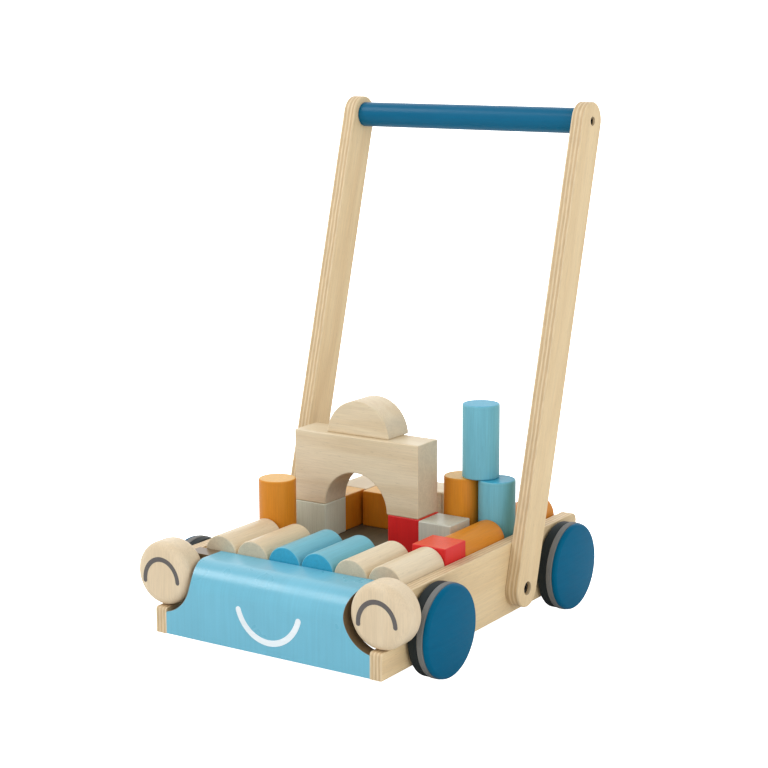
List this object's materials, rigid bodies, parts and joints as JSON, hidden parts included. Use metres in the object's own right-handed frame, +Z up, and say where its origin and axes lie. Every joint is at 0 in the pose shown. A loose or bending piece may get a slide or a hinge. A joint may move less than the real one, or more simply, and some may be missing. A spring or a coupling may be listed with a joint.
{
  "type": "baby walker",
  "caption": "Push-along wooden baby walker with a tall bar handle, a smiling bonnet with round eyes, four wheels and a tray packed with loose building blocks.",
  "frame": {"origin": "middle of the footprint, on the ground", "axes": "+Z up, the face with the eyes looks towards -Y, the handle leans towards +Y, axles along X"},
  "size_m": [0.299, 0.3668, 0.4926],
  "materials": {
    "black_plastic": "moulded",
    "black_steel": "black oxide",
    "block_blue": "light blue stain on wood",
    "block_grey": "grey stain on wood",
    "block_orange": "orange stain on wood",
    "block_red": "red stain on wood",
    "block_white": "pale grey stain on wood",
    "block_wood": "sanded rubber wood, clear varnish",
    "dark_blue_paint": "dark blue paint on turned wood",
    "dowel_wood": "raw beech",
    "eye_wood": "turned wood, clear varnish",
    "face_paint": "light blue paint on wood, satin",
    "grey_rubber": "matt grey rubber",
    "hub_paint": "very dark blue paint on turned wood",
    "plywood": "satin varnish over plywood",
    "steel": "zinc plated",
    "tray_board": "dark stained board"
  },
  "bodies": {
    "cart": {"left_side_panel": "plywood", "right_side_panel": "plywood", "tray_floor": "tray_board", "rear_panel": "plywood", "face_panel": "face_paint", "left_eye": "eye_wood", "right_eye": "eye_wood", "eye_dowels": "dowel_wood", "panel_dowels": "dowel_wood", "left_arm": "plywood", "right_arm": "plywood", "arm_bolts": "black_steel", "arm_nuts": "steel", "arm_dowels": "dowel_wood", "handle_bar": "dark_blue_paint", "handle_bar_screws": "black_steel", "front_axle": "steel", "rear_axle": "steel", "axle_spacers": "black_plastic", "axle_push_nuts": "steel"},
    "front_right_wheel": {"front_right_wheel_hub": "hub_paint", "front_right_wheel_face": "dark_blue_paint", "front_right_tyre_ring": "grey_rubber"},
    "front_left_wheel": {"front_left_wheel_hub": "hub_paint", "front_left_wheel_face": "dark_blue_paint", "front_left_tyre_ring": "grey_rubber"},
    "rear_right_wheel": {"rear_right_wheel_hub": "hub_paint", "rear_right_wheel_face": "dark_blue_paint", "rear_right_tyre_ring": "grey_rubber"},
    "rear_left_wheel": {"rear_left_wheel_hub": "hub_paint", "rear_left_wheel_face": "dark_blue_paint", "rear_left_tyre_ring": "grey_rubber"},
    "front_row_cylinder_1_natural_body": {"front_row_cylinder_1_natural": "block_wood"},
    "front_row_cylinder_2_natural_body": {"front_row_cylinder_2_natural": "block_wood"},
    "front_row_cylinder_3_blue_body": {"front_row_cylinder_3_blue": "block_blue"},
    "front_row_cylinder_4_blue_body": {"front_row_cylinder_4_blue": "block_blue"},
    "front_row_cylinder_5_natural_body": {"front_row_cylinder_5_natural": "block_wood"},
    "front_row_cylinder_6_natural_body": {"front_row_cylinder_6_natural": "block_wood"},
    "red_cube_right_body": {"red_cube_right": "block_red"},
    "orange_cylinder_right_body": {"orange_cylinder_right": "block_orange"},
    "orange_cylinder_rear_body": {"orange_cylinder_rear": "block_orange"},
    "orange_cylinder_left_body": {"orange_cylinder_left": "block_orange"},
    "white_cube_body": {"white_cube": "block_white"},
    "orange_cube_left_body": {"orange_cube_left": "block_orange"},
    "orange_cube_rear_body": {"orange_cube_rear": "block_orange"},
    "natural_bar_rear_left_body": {"natural_bar_rear_left": "block_wood"},
    "natural_bar_rear_middle_body": {"natural_bar_rear_middle": "block_wood"},
    "natural_cube_rear_body": {"natural_cube_rear": "block_wood"},
    "red_cube_under_arch_body": {"red_cube_under_arch": "block_red"},
    "grey_cube_under_arch_body": {"grey_cube_under_arch": "block_grey"},
    "orange_cylinder_under_tower_body": {"orange_cylinder_under_tower": "block_orange"},
    "blue_cylinder_under_tower_body": {"blue_cylinder_under_tower": "block_blue"},
    "arch_block_body": {"arch_block": "block_wood"},
    "half_round_block_body": {"half_round_block": "block_wood"},
    "blue_cylinder_on_tower_body": {"blue_cylinder_on_tower": "block_blue"}
  },
  "joints": [
    {"name": "front_right_wheel_spin", "type": "hinge", "parent": "cart", "child": "front_right_wheel", "pos_m": [0.1394, -0.10538, 0.0429], "axis": [1, 0, 0], "continuous": true},
    {"name": "front_left_wheel_spin", "type": "hinge", "parent": "cart", "child": "front_left_wheel", "pos_m": [-0.1394, -0.10538, 0.0429], "axis": [1, 0, 0], "continuous": true},
    {"name": "rear_right_wheel_spin", "type": "hinge", "parent": "cart", "child": "rear_right_wheel", "pos_m": [0.1394, 0.12712, 0.0429], "axis": [1, 0, 0], "continuous": true},
    {"name": "rear_left_wheel_spin", "type": "hinge", "parent": "cart", "child": "rear_left_wheel", "pos_m": [-0.1394, 0.12712, 0.0429], "axis": [1, 0, 0], "continuous": true},
    {"name": "front_row_cylinder_1_natural_lift", "type": "slide", "parent": "cart", "child": "front_row_cylinder_1_natural_body", "axis": [0, 0, 1], "range_m": [0, 0.12]},
    {"name": "front_row_cylinder_2_natural_lift", "type": "slide", "parent": "cart", "child": "front_row_cylinder_2_natural_body", "axis": [0, 0, 1], "range_m": [0, 0.12]},
    {"name": "front_row_cylinder_3_blue_lift", "type": "slide", "parent": "cart", "child": "front_row_cylinder_3_blue_body", "axis": [0, 0, 1], "range_m": [0, 0.12]},
    {"name": "front_row_cylinder_4_blue_lift", "type": "slide", "parent": "cart", "child": "front_row_cylinder_4_blue_body", "axis": [0, 0, 1], "range_m": [0, 0.12]},
    {"name": "front_row_cylinder_5_natural_lift", "type": "slide", "parent": "cart", "child": "front_row_cylinder_5_natural_body", "axis": [0, 0, 1], "range_m": [0, 0.12]},
    {"name": "front_row_cylinder_6_natural_lift", "type": "slide", "parent": "cart", "child": "front_row_cylinder_6_natural_body", "axis": [0, 0, 1], "range_m": [0, 0.12]},
    {"name": "red_cube_right_lift", "type": "slide", "parent": "cart", "child": "red_cube_right_body", "axis": [0, 0, 1], "range_m": [0, 0.12]},
    {"name": "orange_cylinder_right_lift", "type": "slide", "parent": "cart", "child": "orange_cylinder_right_body", "axis": [0, 0, 1], "range_m": [0, 0.12]},
    {"name": "orange_cylinder_rear_lift", "type": "slide", "parent": "cart", "child": "orange_cylinder_rear_body", "axis": [0, 0, 1], "range_m": [0, 0.12]},
    {"name": "orange_cylinder_left_lift", "type": "slide", "parent": "cart", "child": "orange_cylinder_left_body", "axis": [0, 0, 1], "range_m": [0, 0.12]},
    {"name": "white_cube_lift", "type": "slide", "parent": "cart", "child": "white_cube_body", "axis": [0, 0, 1], "range_m": [0, 0.12]},
    {"name": "orange_cube_left_lift", "type": "slide", "parent": "cart", "child": "orange_cube_left_body", "axis": [0, 0, 1], "range_m": [0, 0.12]},
    {"name": "orange_cube_rear_lift", "type": "slide", "parent": "cart", "child": "orange_cube_rear_body", "axis": [0, 0, 1], "range_m": [0, 0.12]},
    {"name": "natural_bar_rear_left_lift", "type": "slide", "parent": "cart", "child": "natural_bar_rear_left_body", "axis": [0, 0, 1], "range_m": [0, 0.12]},
    {"name": "natural_bar_rear_middle_lift", "type": "slide", "parent": "cart", "child": "natural_bar_rear_middle_body", "axis": [0, 0, 1], "range_m": [0, 0.12]},
    {"name": "natural_cube_rear_lift", "type": "slide", "parent": "cart", "child": "natural_cube_rear_body", "axis": [0, 0, 1], "range_m": [0, 0.12]},
    {"name": "red_cube_under_arch_lift", "type": "slide", "parent": "cart", "child": "red_cube_under_arch_body", "axis": [0, 0, 1], "range_m": [0, 0.12]},
    {"name": "grey_cube_under_arch_lift", "type": "slide", "parent": "cart", "child": "grey_cube_under_arch_body", "axis": [0, 0, 1], "range_m": [0, 0.12]},
    {"name": "orange_cylinder_under_tower_lift", "type": "slide", "parent": "cart", "child": "orange_cylinder_under_tower_body", "axis": [0, 0, 1], "range_m": [0, 0.12]},
    {"name": "blue_cylinder_under_tower_lift", "type": "slide", "parent": "cart", "child": "blue_cylinder_under_tower_body", "axis": [0, 0, 1], "range_m": [0, 0.12]},
    {"name": "arch_block_lift", "type": "slide", "parent": "red_cube_under_arch_body", "child": "arch_block_body", "axis": [0, 0, 1], "range_m": [0, 0.12]},
    {"name": "half_round_block_lift", "type": "slide", "parent": "arch_block_body", "child": "half_round_block_body", "axis": [0, 0, 1], "range_m": [0, 0.12]},
    {"name": "blue_cylinder_on_tower_lift", "type": "slide", "parent": "orange_cylinder_under_tower_body", "child": "blue_cylinder_on_tower_body", "axis": [0, 0, 1], "range_m": [0, 0.12]}
  ],
  "couplings": [
    {"joint": "grey_cube_under_arch_lift", "follows": "red_cube_under_arch_lift", "ratio": 1},
    {"joint": "blue_cylinder_under_tower_lift", "follows": "orange_cylinder_under_tower_lift", "ratio": 1}
  ]
}
